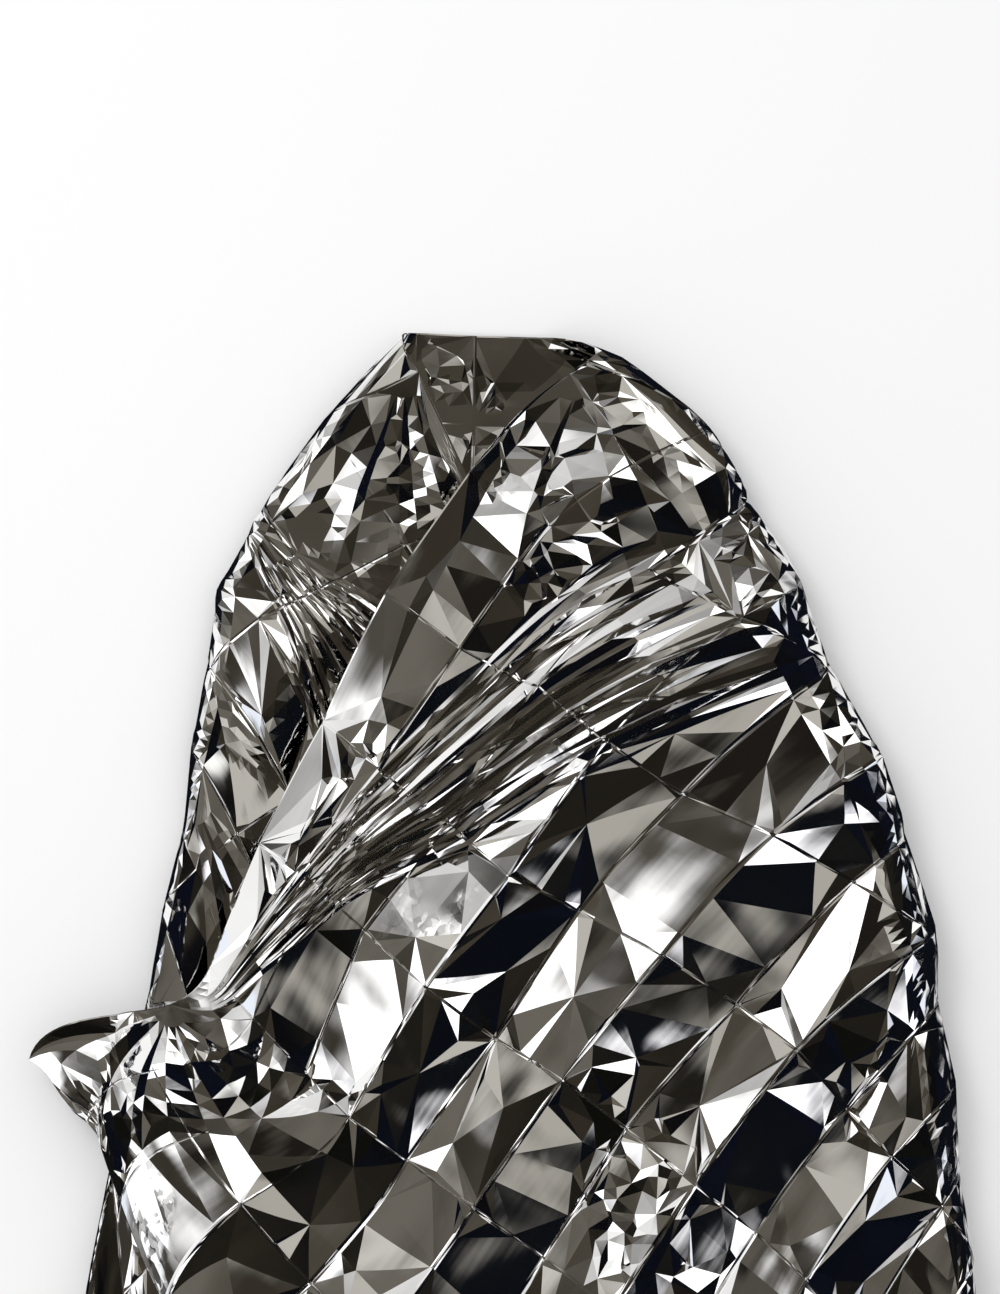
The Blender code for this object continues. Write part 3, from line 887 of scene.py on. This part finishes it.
def crease_lines():
    """How near a place is to a storage crease, from 0 to 1: thin lines that are worn in parts."""
    group, begin, end = socket_group(
        "crease_lines",
        (("Flat Cut", "NodeSocketVector", None), ("Half Width", "NodeSocketFloat", LINE_HALF_WIDTH)),
        (("Line", "NodeSocketFloat"),),
    )
    parts = group.nodes.new("ShaderNodeSeparateXYZ")
    group.links.new(begin.outputs["Flat Cut"], parts.inputs[0])
    lines = []
    for axis, pitch in ((0, PANEL_WIDTH), (1, PANEL_LENGTH)):
        away = math_node(group, "PINGPONG", parts.outputs[axis], pitch / 2)
        share = math_node(group, "DIVIDE", away, begin.outputs["Half Width"])
        lines.append(math_node(group, "MAXIMUM", math_node(group, "SUBTRACT", 1.0, share), 0.0))
    worn = eased(group, noise(group, begin.outputs["Flat Cut"], *WORN_NOISE), WORN_FROM, WORN_FULL)
    line = math_node(group, "MULTIPLY", math_node(group, "MAXIMUM", *lines), worn)
    group.links.new(line, end.inputs["Line"])
    return group


def silver_foil():
    """Mirror film with waves and small facets in its normal, haze in its roughness, and greyed creases."""
    material = bpy.data.materials.new("silver_foil")
    material.use_nodes = True
    tree = material.node_tree
    shader = tree.nodes["Principled BSDF"]
    shader.inputs["Metallic"].default_value = 1.0
    cut = tree.nodes.new("ShaderNodeUVMap")
    cut.uv_map = "flat_cut"
    place = cut.outputs[0]

    wrinkles = tree.nodes.new("ShaderNodeGroup")
    wrinkles.node_tree = film_wrinkles()
    wrinkles.inputs["Wave"].default_value = WAVE_HEIGHT
    wrinkles.inputs["Lean"].default_value = CELL_LEAN
    creases = tree.nodes.new("ShaderNodeGroup")
    creases.node_tree = crease_lines()
    creases.inputs["Half Width"].default_value = LINE_HALF_WIDTH
    for group in (wrinkles, creases):
        tree.links.new(place, group.inputs["Flat Cut"])
    line = creases.outputs["Line"]
    bump = tree.nodes.new("ShaderNodeBump")
    bump.inputs["Strength"].default_value = 1.0
    bump.inputs["Distance"].default_value = MILLIMETRE
    height = math_node(tree, "MULTIPLY_ADD", line, LINE_HEIGHT, wrinkles.outputs["Height"])
    tree.links.new(height, bump.inputs["Height"])
    leaning = vector_node(tree, "ADD", bump.outputs[0], wrinkles.outputs["Lean"])
    tree.links.new(vector_node(tree, "NORMALIZE", leaning), shader.inputs["Normal"])

    # Handling leaves a faint haze on the film, and wear greys its creases
    rough = math_node(tree, "MULTIPLY_ADD", noise(tree, place, *HAZE_NOISE), HAZE_ROUGHNESS, CLEAN_ROUGHNESS)
    rough = math_node(tree, "MULTIPLY_ADD", wrinkles.outputs["Crumpled"], CRUMPLED_ROUGHNESS, rough)
    rough = math_node(tree, "MULTIPLY_ADD", line, WORN_ROUGHNESS, rough)
    tree.links.new(rough, shader.inputs["Roughness"])
    worn = math_node(tree, "MULTIPLY", line, WORN_SHARE)
    tree.links.new(mixed(tree, worn, (*FILM_TONE, 1), (*WORN_TONE, 1)), shader.inputs["Base Color"])
    return material


def add_floor():
    """A pale floor. In what the film mirrors, its colour is painted dark, with a few painted lit patches."""
    bpy.ops.object.select_all(action="DESELECT")
    bpy.ops.mesh.primitive_plane_add(size=FLOOR_SIZE, location=(0, 0, -FLOOR_DROP))
    floor = bpy.context.object
    floor.name = "floor"
    material = bpy.data.materials.new("pale_floor_painted_dark_in_reflections")
    material.use_nodes = True
    tree = material.node_tree
    shader = tree.nodes["Principled BSDF"]
    shader.inputs["Roughness"].default_value = FLOOR_ROUGHNESS
    shader.inputs["Specular IOR Level"].default_value = 0.0
    # Painted reflection: for mirror rays the floor is painted dark outside a few painted lit patches
    seen = tree.nodes.new("ShaderNodeLightPath")
    spot = tree.nodes.new("ShaderNodeTexCoord").outputs["Object"]
    painted_lit = eased(tree, noise(tree, spot, *PAINTED_LIT_NOISE), PAINTED_LIT_FROM, PAINTED_LIT_FULL)
    painted_unlit = math_node(tree, "SUBTRACT", 1.0, painted_lit)
    dark = math_node(tree, "MULTIPLY", seen.outputs["Is Glossy Ray"], painted_unlit)
    tree.links.new(mixed(tree, dark, (*FLOOR_TONE, 1), (*FLOOR_PAINTED_DARK_IN_REFLECTIONS, 1)), shader.inputs["Base Color"])
    floor.data.materials.append(material)


def soft_panel(tree, way, below, azimuth, lean, turn, width, length, soft, colour):
    """Lays one soft-edged panel of light, or one dark flag, over the studio's surroundings."""
    azimuth, lean, turn = math.radians(azimuth), math.radians(lean), math.radians(turn)
    to = Vector((math.sin(lean) * math.cos(azimuth), math.sin(lean) * math.sin(azimuth), math.cos(lean)))
    round_way = Vector((-math.sin(azimuth), math.cos(azimuth), 0.0))
    down_way = to.cross(round_way)
    across = math.cos(turn) * round_way + math.sin(turn) * down_way
    along = to.cross(across)
    ahead, aside, upward = (vector_node(tree, "DOT_PRODUCT", way, axis) for axis in (to, across, along))
    mask = math_node(tree, "GREATER_THAN", ahead, IN_FRONT)
    for distance, half_angle in ((aside, width), (upward, length)):
        half = math.tan(math.radians(half_angle))
        off = math_node(tree, "ABSOLUTE", math_node(tree, "DIVIDE", distance, ahead))
        mask = math_node(tree, "MULTIPLY", mask, eased(tree, off, half + soft, half - soft))
    return mixed(tree, mask, below, (*colour, 1))


def add_studio():
    """Even white light for the floor; for the film, dark and taupe surroundings with soft panels of light."""
    world = bpy.data.worlds.new("studio")
    world.use_nodes = True
    bpy.context.scene.world = world
    tree = world.node_tree
    way = tree.nodes.new("ShaderNodeTexCoord").outputs["Generated"]
    lean = vector_node(tree, "DOT_PRODUCT", way, Vector(SURROUND_WAY).normalized())
    ramp = tree.nodes.new("ShaderNodeValToRGB")
    ramp.color_ramp.interpolation = "EASE"
    for place, colour in SURROUND_TONES:
        if place in (0.0, 1.0):
            ramp.color_ramp.elements[int(place)].color = (*colour, 1)
        else:
            ramp.color_ramp.elements.new(place).color = (*colour, 1)
    share = math_node(tree, "MULTIPLY_ADD", lean, 0.5, 0.5)
    drift = math_node(tree, "MULTIPLY_ADD", noise(tree, way, *DRIFT_NOISE), DRIFT, -DRIFT / 2)
    share = math_node(tree, "ADD", share, drift)
    tree.links.new(share, ramp.inputs[0])
    colour = ramp.outputs["Color"]
    for row in STUDIO_PANELS:
        colour = soft_panel(tree, way, colour, *row)
    seen = tree.nodes.new("ShaderNodeLightPath")
    light = mixed(tree, seen.outputs["Is Glossy Ray"], (*EVEN_LIGHT, 1), colour)
    tree.links.new(light, tree.nodes["Background"].inputs["Color"])


def add_key_light():
    """A soft light that shades the floor and that the film doesn't mirror."""
    data = bpy.data.lights.new("key_light", "AREA")
    data.size = KEY_SIZE
    data.energy = KEY_POWER
    light = bpy.data.objects.new("key_light", data)
    bpy.context.scene.collection.objects.link(light)
    light.location = KEY_PLACE
    light.rotation_euler = Vector(KEY_PLACE).to_track_quat("Z", "Y").to_euler()
    light.visible_glossy = False


def add_camera():
    """A camera above the blanket that puts the neck of the wrap where the photograph has it."""
    width, height = FRAME_PIXELS
    neck = Vector((-CENTRE[0], -CENTRE[1], 0.0))
    across = (width / 2 - NECK_PIXEL[0]) * METRES_A_PIXEL
    down = (height / 2 - NECK_PIXEL[1]) * METRES_A_PIXEL
    target = neck + Vector((across, -down / math.cos(CAMERA_TILT), TARGET_HEIGHT))
    data = bpy.data.cameras.new("camera")
    data.sensor_fit = "VERTICAL"
    data.sensor_height = SENSOR
    data.lens = SENSOR * CAMERA_DISTANCE / (height * METRES_A_PIXEL)
    camera = bpy.data.objects.new("camera", data)
    bpy.context.scene.collection.objects.link(camera)
    way = Vector((0.0, -math.sin(CAMERA_TILT), math.cos(CAMERA_TILT)))
    camera.location = target + CAMERA_DISTANCE * way
    camera.rotation_euler = way.to_track_quat("Z", "Y").to_euler()
    bpy.context.scene.camera = camera


def main():
    blanket = add_foil_blanket()
    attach(blanket, "root")
    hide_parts("foil_sheet")
    add_floor()
    add_key_light()
    add_studio()
    add_camera()
    bpy.context.scene.view_settings.view_transform = "Standard"


main()
